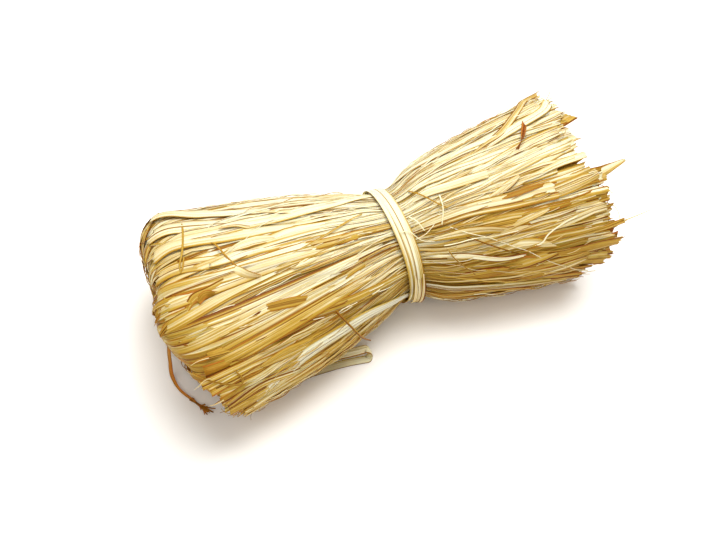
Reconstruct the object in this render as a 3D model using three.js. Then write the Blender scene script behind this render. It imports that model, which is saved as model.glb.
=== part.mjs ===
// A bundle of raffia lying on its side. Flat strips of dried palm leaf are folded over at one end,
// cut ragged at the other, and held at the waist by one more strip wound round them.
// Millimetres, +Z up. The bundle runs along X, with the cut ends at +X, and lies on z = 0.
import * as THREE from "three";

// Driving dimensions

const CENTRE_HEIGHT = 36.5; // height of the bundle's middle line above the surface it lies on
const LEFT_END = -127; // the folded end
const RIGHT_END = 100; // the cut end, about where the tips stop
const LEFT_SHIFT = -10; // the folded end swings sideways by this much
const RIGHT_SHIFT = 8; // and the cut end the other way

const STRIP_THICKNESS = 0.8; // one leaf strip with its pleats
const STRIP_LIFT = 1.0; // underside of an outer strip above the inner strips
const OVERLYING_LIFT = 2.6; // underside of a strip that lies on the outer strips
const TIE_LIFT = 4.2; // underside of the tie
const TIE_THICKNESS = 1.0;
const RESTING_LIFT = STRIP_LIFT + STRIP_THICKNESS; // this layer is pressed flat on z = 0

const OUTER_STRIPS = 44;
const SIDE_GAP = 0.4; // between neighbouring outer strips
const WIDTH_SPREAD = 0.3; // how unequal neighbouring strips are, as a share of the mean width

const TIE_TURNS = 2;
const TIE_WIDTH = 4.6;
const TIE_PITCH = 5.2; // from one turn to the next
const TIE_START_ANGLE = -76; // degrees, out of sight under the bundle
const TIE_SLANT = 3.6; // the tie leans along X by this much either way
const TIE_SLANT_ANGLE = -30; // degrees, where it leans furthest towards the cut end

// Outline of the bundle: distance along X, half width and half height.
const FOLD = [
  [-119, 20, 14],
  [LEFT_END, 37, 26],
  [-122, 49.5, 34.5],
];
const BARREL = [
  [-103, 55, 38],
  [-62, 46.5, 36],
  [-24, 34, 30.5],
  [0, 26, 26],
  [22, 36.5, 32.5],
  [58, 45, 37],
  [RIGHT_END, 51.5, 40],
];
const FLARE = [-138, 60, 41.5]; // where a cut strip would reach on the folded side
const TIPS = [134, 56, 42.5]; // where the longest cut tips would reach
const LEFT_HOLLOW = [-113, 0, 0]; // the folds are tucked into the middle of their end
const RIGHT_FACE = [[90, 49, 38.9], [94, 40, 31], [91, 0, 0]]; // most inner strips are cut there

// The ends are cut short towards the front and underneath.
const SHORT_ANGLE = -32; // degrees, where the bundle is shortest
const SHORT_LEFT = 0.105; // share of the length lost there
const SHORT_RIGHT = 0.13;

// Angles go round the bundle from the front (-Y) at 0 over the top at 90.
const SKIRT_FROM = -62; // between these angles the left ends are cut too
const SKIRT_TO = 30;
const SKIRT_START = 0.035; // where the skirt begins at its upper edge, as a share of the length
const SKIRT_SLOPE = 0.0006; // and how much later for each degree further down

// The upper back tips of the cut end are shorter.
const SHORT_TIP = 0.025; // share of the length lost there
const SHORT_TIP_ANGLE = 74; // degrees
const SHORT_TIP_TURN = 16; // how far this reaches round the bundle, in degrees

// Near the top the folded end bulges out along X.
const BULGE_ANGLE = 64; // degrees
const BULGE_TURN = 20; // how far it reaches round the bundle, in degrees
const BULGE = 0.042; // share of the length added there

// The upper back corner of the folded end stands out.
const CORNER_X = -120;
const CORNER_ANGLE = 150; // degrees
const CORNER_LENGTH = 16; // how far the swelling reaches along X
const CORNER_TURN = 30; // and in degrees round the bundle
const CORNER_SWELL = 0.12; // share of the half width and half height added there

const PALE = { color: 0xf1e2ac, roughness: 0.62, metalness: 0 };
const STRAW = { color: 0xe6cd86, roughness: 0.62, metalness: 0 };
const GOLDEN = { color: 0xcfa957, roughness: 0.64, metalness: 0 };
const RED_BROWN = { color: 0xa8642c, roughness: 0.66, metalness: 0 };

// Shared shapes

const radians = THREE.MathUtils.degToRad;

// A repeatable number from 0 to 1 for a whole number.
function scatter(index) {
  const wave = Math.sin(index * 127.1 + 11.7) * 43758.5453;
  return wave - Math.floor(wave);
}

function spineThrough(stations) {
  const points = stations.map(([x, width, height]) => new THREE.Vector3(x, width, height));
  return new THREE.CatmullRomCurve3(points, false, "catmullrom", 0.5);
}

const foldedSpine = spineThrough([...FOLD, ...BARREL, TIPS]);
const cutSpine = spineThrough([FLARE, ...BARREL, TIPS]);
const innerSpine = spineThrough([LEFT_HOLLOW, ...FOLD, ...BARREL.slice(0, -1), ...RIGHT_FACE]);

function sideShift(x) {
  return x < 0 ? (LEFT_SHIFT * x) / LEFT_END : (RIGHT_SHIFT * x) / RIGHT_END;
}

// Degrees round the bundle from one angle, in degrees, to another in radians.
function degreesFrom(middle, angle) {
  const turned = THREE.MathUtils.radToDeg(angle) - middle + 180;
  return THREE.MathUtils.euclideanModulo(turned, 360) - 180;
}

function reach(x, angle) {
  const lobe = Math.max(0, Math.cos(angle - radians(SHORT_ANGLE))) ** 2;
  const bulge = BULGE * Math.exp(-((degreesFrom(BULGE_ANGLE, angle) / BULGE_TURN) ** 2));
  return x < 0 ? 1 + bulge - SHORT_LEFT * lobe : 1 - SHORT_RIGHT * lobe;
}

function swell(x, angle) {
  const along = (x - CORNER_X) / CORNER_LENGTH;
  const around = degreesFrom(CORNER_ANGLE, angle) / CORNER_TURN;
  return 1 + CORNER_SWELL * Math.exp(-(along ** 2) - around ** 2);
}

// The surface of the inner strips, at a share of the spine's length and an angle round it.
function surface(spine, share, angle) {
  const { x, y: halfWidth, z: halfHeight } = spine.getPoint(share);
  const wider = swell(x, angle);
  return new THREE.Vector3(
    x * reach(x, angle),
    sideShift(x) - halfWidth * wider * Math.cos(angle),
    CENTRE_HEIGHT + halfHeight * wider * Math.sin(angle),
  );
}

// A point lifted off that surface, pressed up where the bundle lies on z = 0.
function lifted(spine, share, angle, lift) {
  const step = 1e-3;
  const here = surface(spine, share, angle);
  const along = surface(spine, share + step, angle).sub(surface(spine, share - step, angle));
  const around = surface(spine, share, angle + step).sub(surface(spine, share, angle - step));
  const normal = along.cross(around).normalize();
  here.addScaledVector(normal, lift);
  here.z = Math.max(here.z, RESTING_LIFT - lift);
  return here;
}

// A straight bar of 1 x 1 x 1 bent by a rule that takes the share of its length,
// the side from -0.5 to 0.5 and the layer from 0 (underside) to 1.
function bentStrip(segments, rule) {
  const bar = new THREE.BoxGeometry(1, 1, 1, segments, 1, 1);
  const position = bar.getAttribute("position");
  const corner = new THREE.Vector3();
  for (let i = 0; i < position.count; i += 1) {
    corner.fromBufferAttribute(position, i);
    const bent = rule(corner.x + 0.5, corner.y, corner.z + 0.5);
    position.setXYZ(i, bent.x, bent.y, bent.z);
  }
  return bar;
}

const bundle = new THREE.Group();
bundle.name = "raffia_bundle";

function add(name, geometry, look) {
  const mesh = new THREE.Mesh(geometry, new THREE.MeshStandardMaterial(look));
  mesh.name = name;
  bundle.add(mesh);
}

// Inner strips: one solid in the place of the several hundred strips inside the bundle

function innerStrips() {
  const rows = 22;
  const spots = 40;
  const outline = [];
  for (let row = 0; row <= rows; row += 1) {
    outline.push(new THREE.Vector2(row === 0 || row === rows ? 0 : 1, row));
  }
  const body = new THREE.LatheGeometry(outline, spots);
  const position = body.getAttribute("position");
  for (let i = 0; i < position.count; i += 1) {
    const row = Math.round(position.getY(i));
    const angle = Math.atan2(position.getZ(i), position.getX(i));
    const onAxis = row === 0 || row === rows;
    const place = surface(innerSpine, row / rows, onAxis ? 0 : angle);
    if (onAxis) place.x = innerSpine.getPoint(row / rows).x;
    place.z = Math.max(place.z, RESTING_LIFT);
    position.setXYZ(i, place.x, place.y, place.z);
  }
  return body;
}

add("inner_strips", innerStrips(), GOLDEN);

// Outer strips, side by side all the way round

function edgeAngle(index) {
  const spread = WIDTH_SPREAD * (scatter(index % OUTER_STRIPS) - 0.5);
  return radians((360 * (index + spread)) / OUTER_STRIPS);
}

function outerStrip(index) {
  const lowEdge = edgeAngle(index);
  const highEdge = edgeAngle(index + 1);
  const middle = THREE.MathUtils.radToDeg((lowEdge + highEdge) / 2);
  const turned = middle > 180 ? middle - 360 : middle;
  const isCut = turned > SKIRT_FROM && turned < SKIRT_TO;
  const spine = isCut ? cutSpine : foldedSpine;
  const late = scatter(index + 100);
  const skirtStart = SKIRT_START + SKIRT_SLOPE * (SKIRT_TO - turned) + 0.03 * late;
  const start = isCut ? skirtStart : 0.05 + 0.05 * late;
  const early = scatter(index + 200);
  const shortTip = SHORT_TIP * Math.exp(-(((middle - SHORT_TIP_ANGLE) / SHORT_TIP_TURN) ** 2));
  const tip = isCut ? 0.85 + 0.04 * early : 0.882 + 0.036 * early - shortTip;
  return bentStrip(16, (length, side, layer) => {
    const share = start + (tip - start) * length;
    const { y: halfWidth, z: halfHeight } = spine.getPoint(share);
    const gap = SIDE_GAP / Math.min(halfWidth, halfHeight);
    const middleAngle = (lowEdge + highEdge) / 2;
    const angle = middleAngle + side * (highEdge - lowEdge - gap);
    return lifted(spine, share, angle, STRIP_LIFT + layer * STRIP_THICKNESS);
  });
}

for (let index = 0; index < OUTER_STRIPS; index += 1) {
  const name = `outer_strip_${String(index + 1).padStart(2, "0")}`;
  add(name, outerStrip(index), scatter(index + 300) < 0.35 ? STRAW : PALE);
}

// Overlying strips: wide ones that lie on the outer strips and pass under the tie

// from and to are shares of the length, angles in degrees are evenly spaced between them, and width
// is at the widest end. The end at the waist is out of sight under the tie.
const OVERLYING = [
  { spine: cutSpine, from: 0.11, to: 0.48, angles: [-4, 12, 12, 2, -16], width: 9, look: PALE },
  { from: 0.2, to: 0.583, angles: [52, 42, 30, 22], width: 8, look: PALE },
  { from: 0.22, to: 0.583, angles: [78, 77, 73], width: 7, look: STRAW },
  { from: 0.23, to: 0.583, angles: [111, 106, 110, 124], width: 9, look: PALE },
  { from: 0.585, to: 0.85, angles: [58, 62, 58], width: 10, look: PALE },
  { from: 0.578, to: 0.89, angles: [146, 122, 128], width: 7, look: PALE },
  { from: 0.585, to: 0.88, angles: [-4, -2, -8, -18], width: 7, look: STRAW },
  { from: 0.22, to: 0.88, angles: [176, 184], width: 8, look: PALE },
];

function overlyingStrip({ spine = foldedSpine, from, to, angles, width }) {
  const bearing = new THREE.SplineCurve(angles.map((angle, i) => new THREE.Vector2(i, radians(angle))));
  return bentStrip(14, (length, side, layer) => {
    const share = THREE.MathUtils.lerp(from, to, length);
    const { y: halfWidth } = spine.getPoint(share);
    const widthHere = width * Math.min(1, 0.3 + (0.7 * (halfWidth - 24)) / 24);
    const angle = bearing.getPoint(length).y + (side * widthHere) / halfWidth;
    return lifted(spine, share, angle, OVERLYING_LIFT + layer * STRIP_THICKNESS);
  });
}

OVERLYING.forEach((strip, index) => {
  add(`overlying_strip_${index + 1}`, overlyingStrip(strip), strip.look);
});

// Tie: one strip wound round the waist

function tieStrip() {
  const waistShare = 6 / 10;
  const shareOfMillimetre = 1 / 230;
  const segments = Math.round(TIE_TURNS * 22);
  return bentStrip(segments, (length, side, layer) => {
    const angle = radians(TIE_START_ANGLE) + length * TIE_TURNS * 2 * Math.PI;
    const slant = TIE_SLANT * (Math.cos(angle - radians(TIE_SLANT_ANGLE)) - 0.8);
    const place = (length - 0.5) * TIE_TURNS * TIE_PITCH + slant - side * TIE_WIDTH;
    const lift = TIE_LIFT + layer * TIE_THICKNESS;
    return lifted(foldedSpine, waistShare + place * shareOfMillimetre, angle, lift);
  });
}

add("tie", tieStrip(), PALE);

// Loose strips: drawn along a line through the air, with a width and a facing direction

function looseStrip(points, facing, width, thickness, segments) {
  const line = new THREE.CatmullRomCurve3(points.map((point) => new THREE.Vector3(...point)));
  const outward = new THREE.Vector3(...facing);
  return bentStrip(segments, (length, side, layer) => {
    const along = line.getTangentAt(length);
    const across = outward.clone().cross(along).normalize();
    const up = along.clone().cross(across).normalize();
    const taper = 1 - 0.5 * length ** 4;
    return line
      .getPointAt(length)
      .addScaledVector(across, side * width * taper)
      .addScaledVector(up, (layer - 0.5) * thickness);
  });
}

const DANGLING = [
  [-125, -6, 27],
  [-129, -11.5, 20],
  [-130.2, -13.6, 10],
  [-131, -18.8, 4],
  [-129, -27, 1.7],
  [-123.5, -36.5, 1.2],
];
add("dangling_strip", looseStrip(DANGLING, [-0.9, -0.3, 0.5], 3, STRIP_THICKNESS, 14), RED_BROWN);

const LONG_TIP = [[92.6, -2, 43], [105, -3.5, 49.5], [117, -5.2, 56], [128, -6, 61]];
add("long_tip_strip", looseStrip(LONG_TIP, [0, -0.3, 1], 7, STRIP_THICKNESS, 6), PALE);

const CROSSING = [[-49.5, -45.5, 58], [-43, -49, 46.5], [-36.5, -48.5, 33], [-30, -43, 20]];
add("crossing_strip", looseStrip(CROSSING, [0, -0.9, 0.4], 2, STRIP_THICKNESS, 10), GOLDEN);

// The looped strip lies under the front of the bundle: out along X, over a fold, and back on z = 0.
function loopedStrip() {
  const width = 5;
  const runLength = 36;
  const foldX = -31;
  const foldY = -37;
  const turnRadius = 2.4;
  const turnShift = -4; // the way back lies this much further forward
  const slope = 0.08; // the way out rises towards the fold
  const drift = -0.08; // and both ways swing in under the bundle
  const turnLength = Math.PI * turnRadius;
  const axisHeight = turnRadius + STRIP_THICKNESS / 2;
  return bentStrip(26, (length, side, layer) => {
    const along = length * (2 * runLength + turnLength);
    const out = Math.min(0, along - runLength);
    const back = Math.min(0, runLength + turnLength - along);
    const bend = THREE.MathUtils.clamp((along - runLength) / turnRadius, 0, Math.PI);
    const radius = turnRadius + (layer - 0.5) * STRIP_THICKNESS;
    return new THREE.Vector3(
      foldX + out + back + radius * Math.sin(bend),
      foldY + (turnShift * bend) / Math.PI + side * width + drift * (out + back),
      axisHeight + slope * out + radius * Math.cos(bend),
    );
  });
}

add("looped_strip", loopedStrip(), PALE);

// The origin is at the middle of the bundle's box, on the surface it lies on.
bundle.updateMatrixWorld(true);
const box = new THREE.Box3().setFromObject(bundle, true);
const middle = box.getCenter(new THREE.Vector3());
bundle.position.set(-middle.x, -middle.y, -box.min.z);

export default bundle;
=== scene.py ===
import math

import bmesh
import bpy
import numpy as np
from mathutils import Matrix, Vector


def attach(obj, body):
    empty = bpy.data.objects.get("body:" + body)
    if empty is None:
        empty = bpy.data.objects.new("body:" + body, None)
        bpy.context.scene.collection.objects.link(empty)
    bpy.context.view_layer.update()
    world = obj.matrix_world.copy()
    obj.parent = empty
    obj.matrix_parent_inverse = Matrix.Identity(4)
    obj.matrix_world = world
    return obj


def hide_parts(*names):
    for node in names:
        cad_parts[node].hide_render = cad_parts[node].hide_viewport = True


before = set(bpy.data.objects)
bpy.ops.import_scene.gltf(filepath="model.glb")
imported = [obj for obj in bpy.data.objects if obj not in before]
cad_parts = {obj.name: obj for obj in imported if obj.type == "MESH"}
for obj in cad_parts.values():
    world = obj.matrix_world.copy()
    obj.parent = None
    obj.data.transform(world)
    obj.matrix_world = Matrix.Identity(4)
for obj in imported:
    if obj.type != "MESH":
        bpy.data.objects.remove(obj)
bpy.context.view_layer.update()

# Sizes of the bundle in millimetres, the same as in its CAD model

METRES = 0.001  # one millimetre
ORIGIN_SHIFT = np.array([2.904, 3.646, 0.0])  # from the middle of the waist to the middle of the box
CENTRE_HEIGHT = 36.5
LEFT_END = -127.0
RIGHT_END = 100.0
LEFT_SHIFT = -10.0
RIGHT_SHIFT = 8.0
RESTING_LIFT = 1.8

FOLD = [[-119, 20, 14], [LEFT_END, 37, 26], [-122, 49.5, 34.5]]
BARREL = [
    [-103, 55, 38],
    [-62, 46.5, 36],
    [-24, 34, 30.5],
    [0, 26, 26],
    [22, 36.5, 32.5],
    [58, 45, 37],
    [RIGHT_END, 51.5, 40],
]
FLARE = [-138, 60, 41.5]
TIPS = [134, 56, 42.5]
SHORT_ANGLE = -32.0
SHORT_LEFT = 0.105
SHORT_RIGHT = 0.13
SKIRT_FROM = -62.0
SKIRT_TO = 30.0
SKIRT_START = 0.035
SKIRT_SLOPE = 0.0006
SHORT_TIP = 0.025
SHORT_TIP_ANGLE = 74.0
SHORT_TIP_TURN = 16.0
BULGE_ANGLE = 64.0
BULGE_TURN = 20.0
BULGE = 0.042
CORNER_X = -120.0
CORNER_ANGLE = 150.0
CORNER_LENGTH = 16.0
CORNER_TURN = 30.0
CORNER_SWELL = 0.12

OUTER_STRIPS = 44
WIDTH_SPREAD = 0.3
STRIP_MIDDLE = 1.4  # the middle of an outer strip above the inner strips
LEAF_THICKNESS = 0.16

FOLDED_SPINE = np.array(FOLD + BARREL + [TIPS], float)
CUT_SPINE = np.array([FLARE] + BARREL + [TIPS], float)

FULL_TURN = 2 * math.pi
GOLDEN_SECTION = 0.61803

SEED = 8052
chance = np.random.default_rng(SEED)


# The surface of the bundle

def scatter(index):
    """A repeatable number from 0 to 1 for a whole number, as in the CAD model."""
    wave = math.sin(index * 127.1 + 11.7) * 43758.5453
    return wave - math.floor(wave)


def along_spine(spine, share):
    """X, half width and half height at shares of a spine's length."""
    last = len(spine) - 1
    place = np.clip(share, 0, 1) * last
    step = np.minimum(place.astype(int), last - 1)
    part = (place - step)[:, None]
    longer = np.vstack([2 * spine[0] - spine[1], spine, 2 * spine[-1] - spine[-2]])
    before, here, after, beyond = (longer[step + k] for k in range(4))
    cubic = 3 * here - before - 3 * after + beyond
    square = 2 * before - 5 * here + 4 * after - beyond
    return here + 0.5 * part * ((after - before) + part * (square + part * cubic))


def degrees_from(middle, angle):
    """Degrees round the bundle from one angle, in degrees, to others in radians."""
    return (np.degrees(angle) - middle + 180) % 360 - 180


def reach(x, angle, depth=1.0):
    """The share of the length left after the ends are cut short at the front and underneath."""
    lobe = np.maximum(0, np.cos(angle - math.radians(SHORT_ANGLE))) ** 2
    bulge = BULGE * np.exp(-(degrees_from(BULGE_ANGLE, angle) / BULGE_TURN) ** 2)
    return 1 + np.where(x < 0, bulge - SHORT_LEFT * lobe, -SHORT_RIGHT * lobe) * depth


def swell(x, angle):
    """How much wider the bundle is at the upper back corner of its folded end."""
    around = degrees_from(CORNER_ANGLE, angle) / CORNER_TURN
    along = (x - CORNER_X) / CORNER_LENGTH
    return 1 + CORNER_SWELL * np.exp(-along ** 2 - around ** 2)


def surface(spine, share, angle, depth):
    """Points on the bundle, or at a depth below 1 inside it. Angles run from the front over the top."""
    x, half_width, half_height = along_spine(spine, share).T
    depth = depth * swell(x, angle)
    shift = np.where(x < 0, LEFT_SHIFT * x / LEFT_END, RIGHT_SHIFT * x / RIGHT_END)
    y = shift - half_width * depth * np.cos(angle)
    z = CENTRE_HEIGHT + half_height * depth * np.sin(angle)
    return np.stack([x * reach(x, angle, np.minimum(depth, 1)), y, z], axis=1)


def unit(vectors):
    return vectors / np.maximum(np.linalg.norm(vectors, axis=1), 1e-9)[:, None]


def path_on_bundle(spine, share, angle, lift, depth=1.0):
    """Points lifted off the surface, and the outward direction at each."""
    step = 1e-3
    along = surface(spine, share + step, angle, depth) - surface(spine, share - step, angle, depth)
    around = surface(spine, share, angle + step, depth) - surface(spine, share, angle - step, depth)
    outward = unit(np.cross(along, around))
    points = surface(spine, share, angle, depth) + outward * lift[:, None]
    floor = np.maximum(0.35, RESTING_LIFT - lift)
    points[:, 2] = np.maximum(points[:, 2], floor)
    return points, outward


def through(values, rows):
    """A smooth run of numbers, or of points, through a few given ones."""
    values = np.array(values, float)
    stations = values if values.ndim > 1 else np.stack([values] * 3, axis=1)
    smooth = along_spine(stations, np.linspace(0, 1, rows))
    return smooth if values.ndim > 1 else smooth[:, 0]


def roundness(half_width, half_height, angle):
    """The radius of the bundle's surface across its length."""
    speed = np.hypot(half_width * np.sin(angle), half_height * np.cos(angle))
    return speed ** 3 / (half_width * half_height)


def share_at(spine, x):
    """The share of a spine's length at given distances along X, right of the folded rim."""
    shares = np.linspace(0.1 if spine is FOLDED_SPINE else 0, 1, 500)
    return np.interp(x, along_spine(spine, shares)[:, 0], shares)


def path_at(x, angle, lift, spine=FOLDED_SPINE):
    """A path on the bundle through given distances along X, angles and lifts."""
    return path_on_bundle(spine, share_at(spine, x / reach(x, angle)), angle, lift)


def roundness_at(x, angle, spine=FOLDED_SPINE):
    half_width, half_height = along_spine(spine, share_at(spine, x))[:, 1:].T
    return roundness(half_width, half_height, angle)


def skirt_start(degrees, later):
    """Where along the cut spine a strip of the skirt begins, the further down the later."""
    return SKIRT_START + SKIRT_SLOPE * (SKIRT_TO - degrees) + later


def slow_wave(x, length, size):
    """A gentle random wave along the bundle."""
    phase = chance.uniform(0, FULL_TURN, 2)
    main = np.sin(2 * math.pi * x / length + phase[0])
    return size * (0.7 * main + 0.3 * np.sin(5.3 * math.pi * x / length + phase[1]))


# One leaf strip

def leaf(points, outward, width, columns, pleat, roll=None, arch=0.0, crease=0.0, slant=0.0, ragged=0.0,
         hollow=None):
    """The grid of points of one strip that follows a path.

    pleat is the height of its ribs, roll its turn about its own length, arch and crease how far its
    middle stands up as a bow and as a sharp fold, slant and ragged the shape of its cut end, and
    hollow the radius that it is wrapped round.
    """
    rows = len(points)
    along = unit(np.gradient(points, axis=0))
    across = unit(np.cross(outward, along))
    up = np.cross(along, across)
    if roll is not None:
        cosine = np.cos(roll)[:, None]
        sine = np.sin(roll)[:, None]
        across, up = across * cosine + up * sine, up * cosine - across * sine
    places = np.linspace(-0.5, 0.5, columns + 1)
    places[1:-1] += chance.uniform(-0.25, 0.25, columns - 1) / columns
    ridges = np.where(np.arange(columns + 1) % 2, 1.0, -1.0) * chance.uniform(0.35, 1.0, columns + 1)
    ripple = np.linspace(0, 1, rows)[:, None] * chance.uniform(4, 16) + chance.uniform(0, 6, columns + 1)
    heights = ridges * (0.75 + 0.25 * np.sin(ripple)) * pleat[:, None]
    bow = arch * (0.25 - places ** 2) * 2 + crease * (0.5 - np.abs(places))
    heights = heights + width[:, None] * bow
    if hollow is not None:
        heights = heights - (places * width[:, None]) ** 2 / (2 * hollow[:, None])
    grid = points[:, None, :] + across[:, None, :] * (places * width[:, None])[:, :, None]
    grid = grid + up[:, None, :] * heights[:, :, None]
    end = np.clip((np.arange(rows) - (rows - 4)) / 3, 0, 1)[:, None]
    cut = end * (slant * places * 2 + ragged * chance.uniform(-1, 1, columns + 1))
    grid = grid + along[:, None, :] * cut[:, :, None]
    grid[:, :, 2] = np.maximum(grid[:, :, 2], 0.3)
    return grid, up


def strip_shape(share, spine, width):
    """Width along a strip, which is squeezed narrow at the waist."""
    half_width = along_spine(spine, share)[:, 1]
    return width * np.clip(0.34 + 0.66 * (half_width - 26) / 26, 0.34, 1.05)


# Painted light and shade in the strips' tint: paler on the lit top, warmer and darker low at the front and
# at the folded end
TINT_SHIFT = 0.2
PALEST_SHIFT = -0.09
PALE_ANGLE = 115.0
WARM_TURN = 146.0  # degrees round the bundle from its palest side to its warmest
WAIST_SHIFT = -0.07
WAIST_PALE_X = -24.0
WAIST_PALE_LENGTH = 24.0
FOLD_SHIFT = 0.11
FOLD_WARM_FROM = -88.0
FOLD_WARM_TO = -126.0


def placed_tint_with_painted_light(tint, places):
    """Tint of places on a strip: paler on top and warmer low down as painted light and shade, warmer and
    darker at the folded end as painted shade, and paler beside the tie.
    """
    x, y, z = np.moveaxis(places, -1, 0)
    turned = np.abs(degrees_from(PALE_ANGLE, np.arctan2(z - CENTRE_HEIGHT, -y)))
    # painted light and shade: paler on top, warmer and darker low at the front
    round_shift = np.maximum(TINT_SHIFT * np.cos(np.radians(WARM_TURN - turned)), PALEST_SHIFT)
    waist_shift = WAIST_SHIFT * np.exp(-((x - WAIST_PALE_X) / WAIST_PALE_LENGTH) ** 2)
    # painted shade: warmer and darker towards the folded end
    fold_shift = FOLD_SHIFT * np.clip((x - FOLD_WARM_FROM) / (FOLD_WARM_TO - FOLD_WARM_FROM), 0, 1)
    return tint + round_shift + waist_shift + fold_shift


# Meshes

def new_object(name, data):
    made = bpy.data.objects.new(name, data)
    bpy.context.collection.objects.link(made)
    return made


def new_shape():
    """An empty shape, with layers for the grain, the columns, the tint and the sides of its strips."""
    shape = bmesh.new()
    shape.loops.layers.uv.new("strip")
    shape.verts.layers.int.new("column")
    shape.verts.layers.float.new("tint")
    shape.verts.layers.float.new("side")
    return shape


def flat_grid(shape, grid):
    """Adds a flat square to a shape, with a vertex for each point of a strip's grid."""
    rows, columns = grid.shape[0] - 1, grid.shape[1] - 1
    return bmesh.ops.create_grid(shape, x_segments=rows, y_segments=columns, size=0.5)["verts"]


def bend(shape, flat_vertices, grid, tint, grain_start):
    """Bends a flat square along a strip's path, and marks its grain, columns, tint and sides."""
    rows, columns = grid.shape[0] - 1, grid.shape[1] - 1
    lengths = np.linalg.norm(np.diff(grid[:, (columns + 1) // 2], axis=0), axis=1)
    run = grain_start + METRES * np.concatenate([[0], np.cumsum(lengths)])
    across = grain_start + METRES * np.linalg.norm(grid - grid[:, :1], axis=2).max(axis=0)
    tints = placed_tint_with_painted_light(tint, grid)
    # the sides carry the painted shade along the edges of each strip
    sides = np.abs(np.linspace(-1, 1, columns + 1)) * (columns > 2)
    places = (grid + ORIGIN_SHIFT) * METRES
    uv = shape.loops.layers.uv["strip"]
    column_layer = shape.verts.layers.int["column"]
    tint_layer = shape.verts.layers.float["tint"]
    side_layer = shape.verts.layers.float["side"]
    for vertex in flat_vertices:
        row = round((vertex.co.x + 0.5) * rows)
        column = round((vertex.co.y + 0.5) * columns)
        vertex[column_layer] = column
        vertex[tint_layer] = tints[row, column]
        vertex[side_layer] = sides[column]
        for loop in vertex.link_loops:
            loop[uv].uv = (across[column], run[row])
        vertex.co = places[row, column]


def mark_pleats(mesh):
    """Keeps the lengthwise pleats crisp and the length smooth."""
    mesh.shade_smooth()
    columns = np.empty(len(mesh.vertices), np.int32)
    mesh.attributes["column"].data.foreach_get("value", columns)
    ends = np.empty(len(mesh.edges) * 2, np.int32)
    mesh.edges.foreach_get("vertices", ends)
    first, second = columns[ends].reshape(-1, 2).T
    mesh.attributes.new("sharp_edge", "BOOLEAN", "EDGE").data.foreach_set("value", first == second)
    mesh.attributes.remove(mesh.attributes["column"])


def finish_piece(name, shape, material, node_name):
    mesh = bpy.data.meshes.new(name)
    shape.to_mesh(mesh)
    shape.free()
    mark_pleats(mesh)
    mesh.materials.append(material)
    piece = new_object(name, mesh)
    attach(piece, "root")
    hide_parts(node_name)


def single_strip(name, grid, tint, material, node_name):
    """One named strip, from a flat square that is bent and then thickened straight down."""
    shape = new_shape()
    grain_start = 7.31 * tint + 0.37 * (len(grid) - 1)  # gives each strip its own stretch of grain
    bend(shape, flat_grid(shape, grid), grid, tint, grain_start)
    bmesh.ops.solidify(shape, geom=shape.faces[:], thickness=LEAF_THICKNESS * METRES)
    bmesh.ops.recalc_face_normals(shape, faces=shape.faces[:])
    finish_piece(name, shape, material, node_name)


def joined_strips(name, leaves, material, node_name):
    """Many leaf strips as one mesh. Each is an underside, a top extruded from it, and the edges between."""
    shape = bmesh.new()
    strip_mesh = bpy.data.meshes.new("strip")
    for number, (grid, up, tint) in enumerate(leaves):
        strip = new_shape()
        under = flat_grid(strip, grid)
        extruded = bmesh.ops.extrude_face_region(strip, geom=strip.faces[:], use_keep_orig=True)
        top = [part for part in extruded["geom"] if isinstance(part, bmesh.types.BMVert)]
        grain_start = METRES * (number * 37.7 % 1000)  # gives each strip its own stretch of grain
        bend(strip, under, grid - up[:, None, :] * LEAF_THICKNESS, tint, grain_start)
        bend(strip, top, grid, tint, grain_start)
        strip.to_mesh(strip_mesh)
        strip.free()
        shape.from_mesh(strip_mesh)
    bpy.data.meshes.remove(strip_mesh)
    finish_piece(name, shape, material, node_name)


# Finishes

def colour(red, green, blue):
    """A display colour from 0 to 255 as the linear one that shaders take."""
    parts = [c / 255 for c in (red, green, blue)]
    return [c / 12.92 if c < 0.04045 else ((c + 0.055) / 1.055) ** 2.4 for c in parts] + [1.0]


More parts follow.
